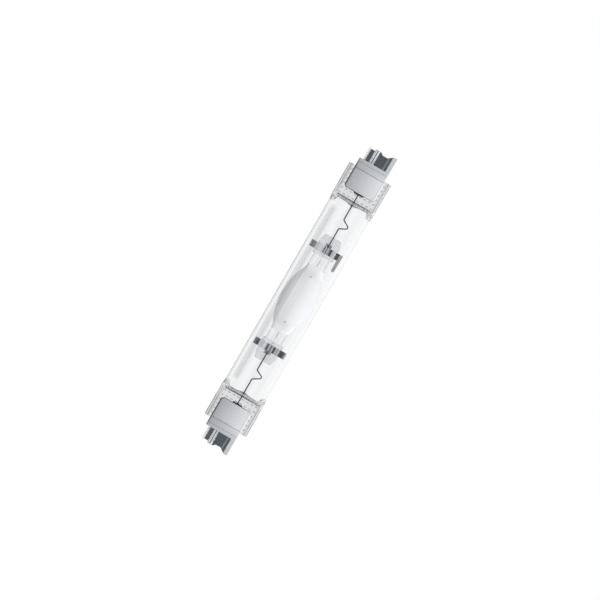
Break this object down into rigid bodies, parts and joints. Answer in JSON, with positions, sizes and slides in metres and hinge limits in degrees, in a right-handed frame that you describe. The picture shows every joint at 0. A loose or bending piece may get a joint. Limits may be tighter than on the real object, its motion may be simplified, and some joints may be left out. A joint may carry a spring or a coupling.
{
  "type": "metal halide lamp",
  "caption": "Double-ended quartz metal halide lamp: clear tube with a frosted arc tube inside, flat ribbed press seals and flat ceramic caps with a contact pin each.",
  "frame": {"origin": "centre of the lamp's overall box, on the tube's axis", "axes": "+X along the lamp towards end a; the press seals lie flat in the XY plane; +Z normal to them; the ceramic tongues are on the -Y side"},
  "size_m": [0.163, 0.0228, 0.022],
  "materials": {
    "clear_quartz": "clear, fire-polished quartz",
    "frosted_quartz": "frosted quartz with whitened ends",
    "tungsten": "drawn and wound wire",
    "molybdenum": "drawn wire and rolled foil",
    "spring_steel": "bright rolled strip",
    "getter_alloy": "matte sintered strip",
    "ceramic": "unglazed white ceramic",
    "cement": "matte cement",
    "nickel": "bright nickel-plated sheet and pin"
  },
  "bodies": {
    "root": {"outer_envelope": "clear_quartz", "arc_tube": "frosted_quartz", "getter": "getter_alloy", "electrode_a": "tungsten", "electrode_b": "tungsten", "arc_foil_a": "molybdenum", "arc_foil_b": "molybdenum", "lead_wire_a": "molybdenum", "lead_wire_b": "molybdenum", "seal_foil_a": "molybdenum", "seal_foil_b": "molybdenum", "outer_lead_a": "molybdenum", "outer_lead_b": "molybdenum", "support_clip_a": "spring_steel", "support_clip_b": "spring_steel", "ceramic_cap_a": "ceramic", "ceramic_cap_b": "ceramic", "cap_cement_a": "cement", "cap_cement_b": "cement", "contact_plate_a": "nickel", "contact_plate_b": "nickel", "contact_pin_a": "nickel", "contact_pin_b": "nickel"}
  },
  "joints": []
}
